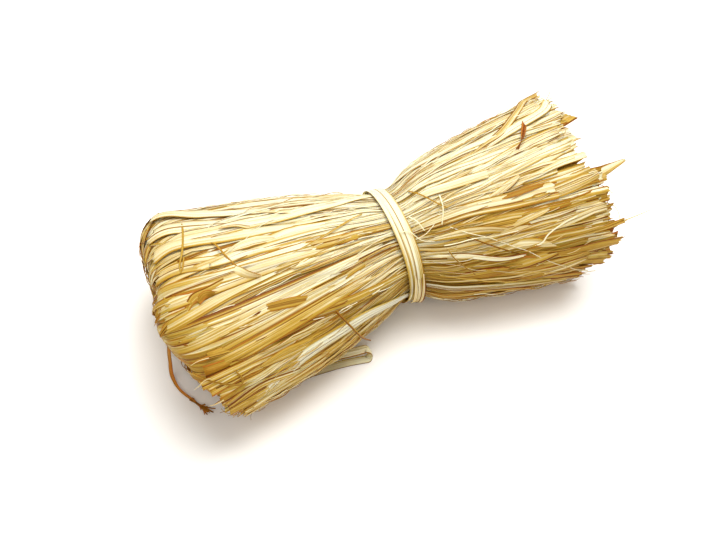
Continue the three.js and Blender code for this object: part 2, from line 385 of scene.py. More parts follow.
def leaf_grain_group():
    """Colour, roughness and height of a dried leaf strip, from its own length and width."""
    group = bpy.data.node_groups.new("leaf_grain", "ShaderNodeTree")
    group.interface.new_socket("Warmth", in_out="INPUT", socket_type="NodeSocketFloat")
    for name, kind in (("Color", "Color"), ("Roughness", "Float"), ("Height", "Float")):
        group.interface.new_socket(name, in_out="OUTPUT", socket_type=f"NodeSocket{kind}")
    nodes, links = group.nodes, group.links
    inputs = nodes.new("NodeGroupInput")
    outputs = nodes.new("NodeGroupOutput")
    uv = nodes.new("ShaderNodeUVMap")
    uv.uv_map = "strip"

    def attribute(name):
        node = nodes.new("ShaderNodeAttribute")
        node.attribute_name = name
        return node.outputs["Fac"]

    def streaks(across_scale, along_scale, detail):
        mapping = nodes.new("ShaderNodeMapping")
        mapping.inputs["Scale"].default_value = (across_scale, along_scale, 1)
        links.new(uv.outputs["UV"], mapping.inputs["Vector"])
        noise = nodes.new("ShaderNodeTexNoise")
        noise.inputs["Scale"].default_value = 1.0
        noise.inputs["Detail"].default_value = detail
        links.new(mapping.outputs["Vector"], noise.inputs["Vector"])
        return noise.outputs["Fac"]

    def math_node(kind, first, second):
        node = nodes.new("ShaderNodeMath")
        node.operation = kind
        for socket, value in zip(node.inputs, (first, second)):
            if isinstance(value, (int, float)):
                socket.default_value = value
            else:
                links.new(value, socket)
        return node.outputs["Value"]

    def spread(value, size):
        return math_node("MULTIPLY", math_node("SUBTRACT", value, 0.5), size)

    def lines(value, low, high):
        node = nodes.new("ShaderNodeMapRange")
        node.interpolation_type = "SMOOTHSTEP"
        node.inputs["From Min"].default_value = low
        node.inputs["From Max"].default_value = high
        links.new(value, node.inputs["Value"])
        return node.outputs["Result"]

    fine = streaks(1500, 10, 2.0)
    ribs = streaks(650, 5, 1.0)
    patches = streaks(70, 30, 3.0)
    veins = lines(streaks(800, 4, 1.0), 0.57, 0.66)
    # Painted shade: the sides of each strip are tinted darker and warmer, standing in for the shade in the
    # gaps between strips
    edge = math_node("MULTIPLY", math_node("POWER", attribute("side"), 6.0), 0.4)
    warmth = math_node("ADD", attribute("tint"), inputs.outputs["Warmth"])
    for part in (spread(fine, 0.6), spread(ribs, 0.45), spread(patches, 0.3), edge):
        warmth = math_node("ADD", warmth, part)
    ramp = nodes.new("ShaderNodeValToRGB")
    stops = [
        (0.0, colour(232, 224, 190)),
        (0.25, colour(180, 147, 56)),
        (0.48, colour(142, 98, 12)),
        (0.66, colour(180, 110, 36)),
        (0.82, colour(126, 68, 12)),
        (1.0, colour(68, 33, 4)),
    ]
    elements = ramp.color_ramp.elements
    while len(elements) < len(stops):
        elements.new(0.5)
    for element, (place, shade) in zip(elements, stops):
        element.position = place
        element.color = shade
    links.new(warmth, ramp.inputs["Fac"])
    veined = nodes.new("ShaderNodeMix")
    veined.data_type = "RGBA"
    veined.blend_type = "MULTIPLY"
    veined.inputs["B"].default_value = colour(170, 124, 46)
    links.new(veins, veined.inputs["Factor"])
    links.new(ramp.outputs["Color"], veined.inputs["A"])
    links.new(veined.outputs["Result"], outputs.inputs["Color"])
    rough = math_node("ADD", math_node("MULTIPLY", fine, 0.25), 0.42)
    links.new(rough, outputs.inputs["Roughness"])
    height = math_node("SUBTRACT", math_node("ADD", fine, ribs), veins)
    links.new(height, outputs.inputs["Height"])
    return group


leaf_grain = leaf_grain_group()


def leaf_material(name, warmth):
    material = bpy.data.materials.new(name)
    material.use_nodes = True
    nodes, links = material.node_tree.nodes, material.node_tree.links
    shader = nodes["Principled BSDF"]
    grain = nodes.new("ShaderNodeGroup")
    grain.node_tree = leaf_grain
    grain.inputs["Warmth"].default_value = warmth
    bump = nodes.new("ShaderNodeBump")
    bump.inputs["Strength"].default_value = 0.9
    bump.inputs["Distance"].default_value = 0.0003
    shader.inputs["Specular IOR Level"].default_value = 0.15
    shader.inputs["Subsurface Weight"].default_value = 0.4
    shader.inputs["Subsurface Radius"].default_value = (1.0, 0.75, 0.4)
    shader.inputs["Subsurface Scale"].default_value = 0.0006
    links.new(grain.outputs["Color"], shader.inputs["Base Color"])
    links.new(grain.outputs["Roughness"], shader.inputs["Roughness"])
    links.new(grain.outputs["Height"], bump.inputs["Height"])
    links.new(bump.outputs["Normal"], shader.inputs["Normal"])
    return material


pale_leaf = leaf_material("pale_leaf", 0.0)
straw_leaf = leaf_material("straw_leaf", 0.08)
golden_leaf = leaf_material("golden_leaf", 0.0)
red_brown_leaf = leaf_material("red_brown_leaf", 0.3)
SLOT_FINISH = {"raffia_pale": pale_leaf, "raffia_straw": straw_leaf}


# Outer strips, in the places of their CAD solids

OUTER_TINTS = (0.0, 0.14)
STRAW_STRIPS = 0.35  # the share of the outer strips that are straw yellow


def edge_angle(index):
    spread = WIDTH_SPREAD * (scatter(index % OUTER_STRIPS) - 0.5)
    return 2 * math.pi * (index + spread) / OUTER_STRIPS


def short_tip(degrees):
    """The share of the length that the upper back tips of the cut end are shorter by."""
    return SHORT_TIP * math.exp(-((degrees - SHORT_TIP_ANGLE) / SHORT_TIP_TURN) ** 2)


def outer_strip(index):
    low, high = edge_angle(index), edge_angle(index + 1)
    middle = math.degrees((low + high) / 2)
    turned = middle - 360 if middle > 180 else middle
    is_cut = SKIRT_FROM < turned < SKIRT_TO
    spine = CUT_SPINE if is_cut else FOLDED_SPINE
    late = scatter(index + 100)
    start = skirt_start(turned, 0.03 * late) if is_cut else 0.05 + 0.05 * late
    early = scatter(index + 200)
    tip = (0.85 + 0.04 * early) if is_cut else (0.882 + 0.036 * early - short_tip(middle))
    share = np.linspace(start, tip, 72)
    x, half_width, half_height = along_spine(spine, share).T
    radius = np.sqrt(half_width * half_height)
    angle = (low + high) / 2 + slow_wave(x, 150, 1.0) / radius
    lift = STRIP_MIDDLE + slow_wave(x, 110, 0.2) * np.clip(np.abs(x) / 40, 0, 1)
    points, outward = path_on_bundle(spine, share, angle, lift)
    width = (high - low) * radius * chance.uniform(1.0, 1.3)
    columns = int(chance.integers(7, 10))
    pleat = np.full(len(share), chance.uniform(0.06, 0.14)) * (1 + 0.6 * np.exp(-(x / 22) ** 2))
    roll = chance.uniform(-0.08, 0.08) + slow_wave(x, 130, 0.05)
    return leaf(points, outward, width, columns, pleat, roll, 0.0, 0.0, chance.uniform(-3, 3),
                chance.uniform(0.6, 2.0), roundness(half_width, half_height, angle))


for index in range(OUTER_STRIPS):
    node_name = f"outer_strip_{index + 1:02d}"
    is_straw = scatter(index + 300) < STRAW_STRIPS
    slot = "raffia_straw" if is_straw else "raffia_pale"
    grid, _ = outer_strip(index)
    tint = chance.uniform(*OUTER_TINTS)
    single_strip(f"{node_name}_leaf", grid, tint, SLOT_FINISH[slot], node_name)


# Overlying strips, in the places of their CAD solids

OVERLYING = [
    # spine, from and to along it, angles between, width, slot and tint
    (CUT_SPINE, 0.11, 0.48, [-4, 12, 12, 2, -16], 9, "raffia_pale", -0.1),
    (FOLDED_SPINE, 0.2, 0.583, [52, 42, 30, 22], 8, "raffia_pale", 0.14),
    (FOLDED_SPINE, 0.22, 0.583, [78, 77, 73], 7, "raffia_straw", 0.22),
    (FOLDED_SPINE, 0.23, 0.583, [111, 106, 110, 124], 9, "raffia_pale", 0.1),
    (FOLDED_SPINE, 0.585, 0.85, [58, 62, 58], 10, "raffia_pale", 0.12),
    (FOLDED_SPINE, 0.578, 0.89, [146, 122, 128], 7, "raffia_pale", 0.14),
    (FOLDED_SPINE, 0.585, 0.88, [-4, -2, -8, -18], 7, "raffia_straw", -0.14),
    (FOLDED_SPINE, 0.22, 0.88, [176, 184], 8, "raffia_pale", 0.25),
]


for number, (spine, begin, end, angles, width, slot, tint) in enumerate(OVERLYING, 1):
    rows = 64
    share = np.linspace(begin, end, rows)
    x, half_width, half_height = along_spine(spine, share).T
    angle = np.radians(through(angles, rows)) + slow_wave(x, 90, 0.6) / half_width
    lift = 3.0 + slow_wave(x, 80, 0.3) * np.clip(np.abs(x) / 40, 0, 1)
    points, outward = path_on_bundle(spine, share, angle, lift)
    widths = width * np.minimum(1, 0.3 + 0.7 * (half_width - 24) / 24)
    if begin < 0.5:
        widths = widths * np.clip(0.25 + 6 * np.linspace(0, 1, rows), 0, 1)
    pleat = np.clip(widths * 0.02, 0.06, 0.2)
    grid, _ = leaf(points, outward, widths, 8, pleat, slow_wave(x, 100, 0.06), 0.02, 0.0,
                   chance.uniform(-2, 2), 1.2, roundness(half_width, half_height, angle))
    node_name = f"overlying_strip_{number}"
    single_strip(f"{node_name}_leaf", grid, tint, SLOT_FINISH[slot], node_name)


# Tie: one strip wound round the waist

TIE_TURNS = 2.0
TIE_PITCH = 5.2
TIE_START_ANGLE = -76.0
TIE_SLANT = 3.6
TIE_SLANT_ANGLE = -30.0
TIE_OPEN_ANGLE = -20.0
WAIST_SHARE = 0.6
SHARE_OF_MILLIMETRE = 1 / 230


def tie_leaf():
    rows = 240
    length = np.linspace(0, 1, rows)
    angle = math.radians(TIE_START_ANGLE) + length * TIE_TURNS * 2 * math.pi
    slant = TIE_SLANT * (np.cos(angle - math.radians(TIE_SLANT_ANGLE)) - 0.8)
    tucked = np.clip((length - 0.93) / 0.07, 0, 1)
    opening = 0.8 + 0.2 * np.cos(angle - math.radians(TIE_OPEN_ANGLE))
    place = (length - 0.5) * TIE_TURNS * TIE_PITCH * opening + slant - 2.0 * tucked
    lift = 4.2 + 0.9 * length - 1.0 * tucked
    share = WAIST_SHARE + place * SHARE_OF_MILLIMETRE
    points, outward = path_on_bundle(FOLDED_SPINE, share, angle, lift)
    width = through([4.6, 4.2, 4.6, 5.4, 6.4, 6.8, 6.2, 4.6], rows)
    pleat = np.full(rows, 0.1)
    return leaf(points, outward, width, 9, pleat, 0.06 * np.sin(14 * length), 0.08)


grid, _ = tie_leaf()
single_strip("tie_leaf", grid, 0.02, pale_leaf, "tie")


TIE_END_X = [-2.0, 0.4, 2.6, 4.6]


def tie_end(x):
    """One of the narrow strips that the cut end of the tie has split into."""
    rows = 16
    part = np.linspace(0, 1, rows)
    angle = np.radians(np.linspace(chance.uniform(8, 20), chance.uniform(-46, -38), rows))
    place = x + chance.normal(0, 0.5) + 1.0 * part
    lift = 4.6 + 1.6 * np.sqrt(part)
    points, outward = path_at(place, angle, lift)
    width = chance.uniform(2.0, 3.0) * np.clip(0.4 + 2 * part, 0, 1)
    roll = chance.normal(0, 0.25) * part
    return leaf(points, outward, width, 4, 0.03 * width, roll, 0.1, 0.0, 0.6, 0.9)


tie_ends = []
for x in TIE_END_X:
    grid, up = tie_end(x)
    tie_ends.append((grid, up, chance.uniform(-0.08, 0.02)))
joined_strips("tie_ends", tie_ends, pale_leaf, "tie")


# Loose strips, in the places of their CAD solids

def loose_leaf(points, facing, width, columns, pleat, taper, rows=48):
    path = through(points, rows)
    outward = np.tile(np.array(facing, float), (rows, 1))
    length = np.linspace(0, 1, rows)
    widths = width * (1 - taper * length ** 4)
    roll = slow_wave(length * 100, 90, 0.3)
    return leaf(path, outward, widths, columns, np.full(rows, pleat), roll, 0.1, 0.3)


DANGLING = [
    [-125, -6, 27],
    [-129, -11.5, 20],
    [-130.2, -13.6, 10],
    [-131, -18.8, 4],
    [-129, -27, 1.7],
    [-123.5, -36.5, 1.2],
]
grid, _ = loose_leaf(DANGLING, [-0.9, -0.3, 0.5], 3.0, 4, 0.25, 0.5)
single_strip("dangling_strip_leaf", grid, -0.03, red_brown_leaf, "dangling_strip")

LONG_TIP = [[92.6, -2, 43], [105, -3.5, 49.5], [117, -5.2, 56], [128, -6, 61]]
grid, _ = loose_leaf(LONG_TIP, [0, -0.3, 1], 7, 6, 0.3, 0.8)
single_strip("long_tip_strip_leaf", grid, 0.06, pale_leaf, "long_tip_strip")

CROSSING = [[-49.5, -45.5, 58], [-43, -49, 46.5], [-36.5, -48.5, 33], [-30, -43, 20]]
grid, _ = loose_leaf(CROSSING, [0, -0.9, 0.4], 1.1, 3, 0.15, 0.4)
single_strip("crossing_strip_leaf", grid, 0.4, golden_leaf, "crossing_strip")


def looped_leaf():
    """Out along X under the front of the bundle, over a fold, and back on the floor."""
    run_length, fold_x, fold_y = 36.0, -31.0, -37.0
    turn_radius, turn_shift, slope, drift = 2.4, -4.0, 0.08, -0.08
    turn_length = math.pi * turn_radius
    along = np.concatenate([
        np.linspace(0, run_length, 30),
        np.linspace(run_length + 0.3, run_length + turn_length - 0.3, 12),
        np.linspace(run_length + turn_length, 2 * run_length + turn_length, 30),
    ])
    out = np.minimum(0, along - run_length)
    back = np.minimum(0, run_length + turn_length - along)
    bend = np.clip((along - run_length) / turn_radius, 0, math.pi)
    x = fold_x + out + back + turn_radius * np.sin(bend)
    y = fold_y + turn_shift * bend / math.pi + drift * (out + back) + 0.5 * np.sin(along / 7)
    z = turn_radius + 0.5 + slope * out + turn_radius * np.cos(bend)
    points = np.stack([x, y, z], axis=1)
    outward = np.stack([np.sin(bend), 0 * bend, np.cos(bend)], axis=1)
    width = 5.2 + 0.5 * np.sin(along / 11)
    return leaf(points, outward, width, 6, np.full(len(along), 0.28), None, 0.05, 0.2, 2.0, 0.8)


grid, _ = looped_leaf()
single_strip("looped_strip_leaf", grid, -0.14, pale_leaf, "looped_strip")


# Inner strips

TIP_ANGLES = [-180, -90, -35, -20, -5, 5, 13, 25, 50, 70, 85, 100, 125, 150, 180]
TIP_REACH = [98, 95, 91, 87, 86, 89, 105, 105, 103, 95, 95, 101, 98, 102, 98]
MIDDLE_REACH = 95.0


def tip_share(spine, angle, shorter, depth):
    """Where along a spine a strip is cut at the right. The tips stand in clumps."""
    degrees = degrees_from(0, angle)
    clump = 3.5 * math.sin(6 * angle + 1.0) + 2.0 * math.sin(13 * angle + 2.0)
    outside = np.interp(degrees, TIP_ANGLES, TIP_REACH) + clump
    tip = MIDDLE_REACH + depth * (outside - MIDDLE_REACH) + chance.normal(0, 2.0) - shorter
    shares = np.linspace(0.6, 1, 200)
    x = along_spine(spine, shares)[:, 0]
    return np.interp(tip, x * reach(x, angle, depth), shares)


SKIRT_TIPS_Y = -48.0
PLAIN_TINTS = (-0.02, 0.13)
WARM_TINTS = (0.12, 0.17)
WARM_STRIPS = 0.2  # the share of strips that are warmer than the plain ones


def random_tint(base):
    tints = WARM_TINTS if chance.random() < WARM_STRIPS else PLAIN_TINTS
    return base + chance.uniform(*tints)


def inner_leaf(angle, depth, lift, rows, columns, full_width, crease):
    """A strip inside the bundle, folded over at the left or cut there, and cut at the right."""
    turned = degrees_from(0, angle)
    is_cut = chance.random() < (0.9 if SKIRT_FROM < turned < SKIRT_TO else 0.0)
    spine = (CUT_SPINE if is_cut else FOLDED_SPINE).copy()
    spine[:, 0] *= np.where(spine[:, 0] < 0, chance.uniform(0.955, 1.01), 1.0)
    late = chance.random()
    begin = skirt_start(turned, 0.05 * late) if is_cut else 0.02 + 0.07 * late
    share = np.linspace(begin, tip_share(spine, angle, 10 * (1 - depth), depth), rows)
    x, half_width, half_height = along_spine(spine, share).T
    radius = np.sqrt(half_width * half_height) * depth
    drift = np.where(x > 0, chance.normal(0, 5.0) * x / 100, chance.normal(0, 4.0) * x / 100)
    sway = drift + slow_wave(x, 190, 1.8) + slow_wave(x, 60, 0.6)
    away = np.clip(np.abs(x) / 40, 0.1, 1)
    lifts = lift + slow_wave(x, 120, 0.3) * away + slow_wave(x, 24, 0.12) * away
    lifts = lifts + chance.uniform(-1.5, 2.0) * np.clip((x - 75) / 30, 0, 1.2) ** 2
    angles = angle + sway / np.maximum(radius, 12)
    points, outward = path_on_bundle(spine, share, angles, lifts, depth)
    width = strip_shape(share, spine, full_width) * (1 + slow_wave(x, 70, 0.2))
    pleat = np.clip(width / columns * chance.uniform(0.04, 0.16), 0.02, 0.2)
    roll = chance.uniform(-0.08, 0.08) + slow_wave(x, 90, chance.choice([0.03, 0.08, 0.22]))
    slant = 0.35 * full_width * chance.uniform(-1, 1)
    hollow = roundness(half_width, half_height, angles) * depth
    return leaf(points, outward, width, columns, pleat, roll, chance.uniform(-0.02, 0.04),
                chance.uniform(0, crease), slant, 0.14 * full_width, hollow)


cut_tips = []
skirt_tips = []


def note_ends(grid, up):
    """Remembers where a strip is cut, which way it points there and its upper side."""
    middle = grid.mean(axis=1)
    cut_tips.append((middle[-1], middle[-1] - middle[-4], up[-1]))
    if middle[0, 1] < SKIRT_TIPS_Y:
        skirt_tips.append((middle[0], middle[0] - middle[3], up[0]))


def strips_in_layer(count, depths, lifts, widths, crease, rows, columns, base_tint):
    """Strips spread evenly round the bundle, by steps of the golden section of a turn."""
    leaves = []
    first_angle = chance.uniform(0, FULL_TURN)
    for number in range(count):
        angle = first_angle + FULL_TURN * ((number * GOLDEN_SECTION) % 1) + chance.uniform(-0.05, 0.05)
        depth = chance.uniform(*depths)
        lift = chance.uniform(*lifts)
        width = chance.uniform(*widths)
        grid, up = inner_leaf(angle, depth, lift, rows, columns, width, crease)
        note_ends(grid, up)
        leaves.append((grid, up, random_tint(base_tint)))
    return leaves


def inner_layer(name, leaves):
    joined_strips(name, leaves, golden_leaf, "inner_strips")


def many_strips(count, make_leaf, pick_tint):
    """Strips that are each shaped and then tinted."""
    leaves = []
    for number in range(count):
        grid, up = make_leaf()
        leaves.append((grid, up, pick_tint()))
    return leaves


INNER_LAYERS = [
    # name, number of strips, depths, lifts, widths, crease, rows, columns and tint
    # The core and under strips are tinted darker and warmer than the outer layers as painted shade in the
    # gaps between strips.
    ("core_strips", 150, (0.25, 0.85), (0, 0), (2.5, 7), 0.3, 30, 2, 0.28),
    ("under_strips", 130, (0.92, 1.0), (-2, 0.2), (4, 9), 0.1, 44, 4, 0.26),
    ("broad_strips", 125, (1, 1), (0.4, 2.3), (4.5, 10.5), 0.03, 46, 7, 0.06),
    ("medium_strips", 50, (1, 1), (1.4, 2.4), (2, 4.5), 0.1, 54, 5, 0.08),
    ("narrow_strips", 50, (1, 1), (1.8, 2.6), (0.8, 1.9), 0.3, 54, 2, 0.05),
]
for name, *layer in INNER_LAYERS:
    inner_layer(name, strips_in_layer(*layer))


# The cut end is full of strips, each cut a little shorter or longer than its neighbours

def end_strip():
    rows = 9
    angle = chance.uniform(0, FULL_TURN)
    depth = 0.96 * math.sqrt(chance.random())
    tip = tip_share(FOLDED_SPINE, angle, chance.uniform(0, 7), depth)
    share = np.linspace(0.79, tip, rows)
    points, outward = path_on_bundle(FOLDED_SPINE, share, np.full(rows, angle), np.zeros(rows), depth)
    points = points + chance.normal(0, 1.2, 3) * np.linspace(0, 1, rows)[:, None]
    width = np.full(rows, chance.uniform(3, 8))
    roll = chance.uniform(-1.3, 1.3) + chance.normal(0, 0.3) * np.linspace(0, 1, rows)
    return leaf(points, outward, width, 4, 0.06 * width, roll, chance.uniform(-0.15, 0.25), 0.0,
                chance.uniform(-0.3, 0.3) * width[0], 0.15 * width[0])


END_STRIPS = 520
inner_layer("end_strips", many_strips(END_STRIPS, end_strip, lambda: random_tint(0.03)))


# Folds tucked into the middle of the folded end

FOLD_MIDDLE = [LEFT_SHIFT, CENTRE_HEIGHT]
FOLD_HALF_WIDTH = 27.0
FOLD_HALF_HEIGHT = 19.0


def fold_loop():
    """A strip that comes out of the middle of the folded end, bends sharply and goes back in."""
    rows = 22
    angle = chance.uniform(0, FULL_TURN)
    depth = math.sqrt(chance.random())
    way = chance.uniform(0, FULL_TURN)
    opening = np.array([0, math.cos(way), math.sin(way)])
    through_bend = np.linspace(-1, 1, rows)
    x = chance.uniform(-124, -116) + 26 * np.abs(through_bend) ** 2.2
    points = np.zeros((rows, 3))
    points[:, 0] = x * reach(x, np.full(rows, angle), depth)
    points[:, 1] = FOLD_MIDDLE[0] - FOLD_HALF_WIDTH * depth * math.cos(angle)
    points[:, 2] = FOLD_MIDDLE[1] + FOLD_HALF_HEIGHT * depth * math.sin(angle)
    points = points + chance.uniform(1.5, 3.5) * opening * np.tanh(3 * through_bend)[:, None]
    flat = np.cross([1.0, 0, 0], opening)
    outward = np.cross(np.gradient(points, axis=0), flat)
    width = np.full(rows, chance.uniform(4, 10))
    return leaf(points, unit(outward), width, 5, 0.03 * width, None, chance.uniform(-0.06, 0.06))


FOLD_LOOPS = 110
inner_layer("fold_loops", many_strips(FOLD_LOOPS, fold_loop, lambda: random_tint(0.12)))


# Strips that slip out of the tie and end part of the way along

def short_strip(towards_cut_end):
    rows = 40
    if towards_cut_end:
        begin, end = chance.uniform(2, 20), chance.uniform(50, 102)
        first_angle = chance.normal(35, 45) if chance.random() < 0.7 else chance.uniform(-180, 180)
        drift = chance.normal(0, 7)
    else:
        begin, end = chance.uniform(-30, -6), chance.uniform(-104, -60)
        first_angle = chance.uniform(-180, 180)
        drift = chance.normal(0, 6)
    part = np.linspace(0, 1, rows)
    x = begin + (end - begin) * part
    angle = np.radians(first_angle + drift * part ** 1.4) + slow_wave(x, 80, 0.02)
    lift = 1.2 + chance.uniform(0.8, 3.0) * part ** 1.5 + slow_wave(x, 60, 0.1)
    points, outward = path_at(x, angle, lift)
    full_width = chance.uniform(2.0, 6.5)
    width = full_width * np.clip(0.3 + 1.2 * part, 0, 1) * (1 - 0.6 * part ** 8)
    width = width * (1 + slow_wave(x, 50, 0.2))
    columns = 6
    pleat = width / columns * chance.uniform(0.05, 0.2)
    roll = slow_wave(x, 90, 0.06) + chance.uniform(-0.4, 0.4) * part ** 3
    return leaf(points, outward, width, columns, pleat, roll, chance.uniform(-0.05, 0.1), 0.0,
                chance.uniform(-0.6, 0.6) * full_width, 0.2 * full_width, roundness_at(x, angle))


SHORT_TOWARDS_CUT_END = 20
SHORT_TOWARDS_FOLD = 14
short_strips = []
for count, towards_cut_end in ((SHORT_TOWARDS_CUT_END, True), (SHORT_TOWARDS_FOLD, False)):
    short_strips += many_strips(count, lambda: short_strip(towards_cut_end), lambda: random_tint(0.03))
inner_layer("short_strips", short_strips)


# Strips gathered to a point at the folded end

PINCH = np.array([-129.0, -21.0, 36.0])
PINCH_FACING = np.array([-0.6, -0.55, 0.6])


def pinched_leaf(degrees):
    """Out from the pinch over the rim of the folded end and along the bundle towards the tie."""
    rows = 56
    share = np.array([0.12, 0.19, 0.26, 0.33, 0.42, chance.uniform(0.5, 0.56)])
    turn = degrees + chance.normal(0, 6) * np.array([0, 0, 0.2, 0.5, 0.8, 1.0])
    lifts = np.array([1.6, 2.4, 2.9, 3.1, 2.9, 1.2]) + chance.uniform(-0.4, 0.4)
    points, outward = path_on_bundle(FOLDED_SPINE, share, np.radians(turn), lifts)
    start = PINCH + chance.uniform(-1.6, 1.6, 3)
    middle = 0.5 * start + 0.5 * points[0] + PINCH_FACING * chance.uniform(0.5, 2.0)
    path = through(np.vstack([start, middle, points]), rows)
    facing = through(np.vstack([PINCH_FACING, 0.5 * PINCH_FACING + 0.5 * outward[0], outward]), rows)
    part = np.linspace(0, 1, rows)
    full_width = chance.uniform(4, 9)
    width = full_width * np.interp(part, [0, 0.12, 0.4, 0.6, 1], [0.25, 0.4, 0.9, 1, 0.6])
    pleat = width / 8 * np.interp(part, [0, 0.3, 1], [0.45, 0.2, 0.1])
    return leaf(path, unit(facing), width, 8, pleat, slow_wave(part * 100, 110, 0.12),
                chance.uniform(0, 0.1), 0.0, 0.0, 1.5)


PINCHED_STRIPS = 18
pinched_strips = []
for number in range(PINCHED_STRIPS):
    grid, up = pinched_leaf(31 + 3.2 * number + chance.uniform(-2, 2))
    pinched_strips.append((grid, up, random_tint(0.05)))
inner_layer("pinched_strips", pinched_strips)


# Torn pieces of leaf that lie across the others towards the cut end

def torn_flap():
    rows = 26
    begin = chance.uniform(8, 45)
    length = chance.uniform(28, 60)
    lean = chance.normal(0, 0.07)
    part = np.linspace(0, 1, rows)
    x = begin + length * part
    angle = math.radians(chance.uniform(-25, 80)) + lean * length * part ** 1.3 / 42
    lift = 0.8 + chance.uniform(1.6, 3.6) * part ** 1.2 + slow_wave(x, 30, 0.2)
    points, outward = path_at(x, angle, lift)
    full_width = chance.uniform(4, 10)
    width = full_width * np.clip(0.35 + 1.6 * part, 0, 1) * (1 - 0.5 * part ** 6)
    width = width * (1 + slow_wave(x, 30, 0.2))
    pleat = width / 6 * chance.uniform(0.05, 0.25)
    roll = slow_wave(x, 90, 0.1) + chance.normal(0, 0.3) * part ** 2
    return leaf(points, outward, width, 6, pleat, roll, chance.uniform(-0.05, 0.1), 0.0,
                chance.uniform(-0.7, 0.7) * full_width, 0.4 * full_width, roundness_at(x, angle))


TORN_FLAPS = 9
inner_layer("torn_flaps", many_strips(TORN_FLAPS, torn_flap, lambda: random_tint(0.1)))


# Single strips and strands that stand out on the bundle

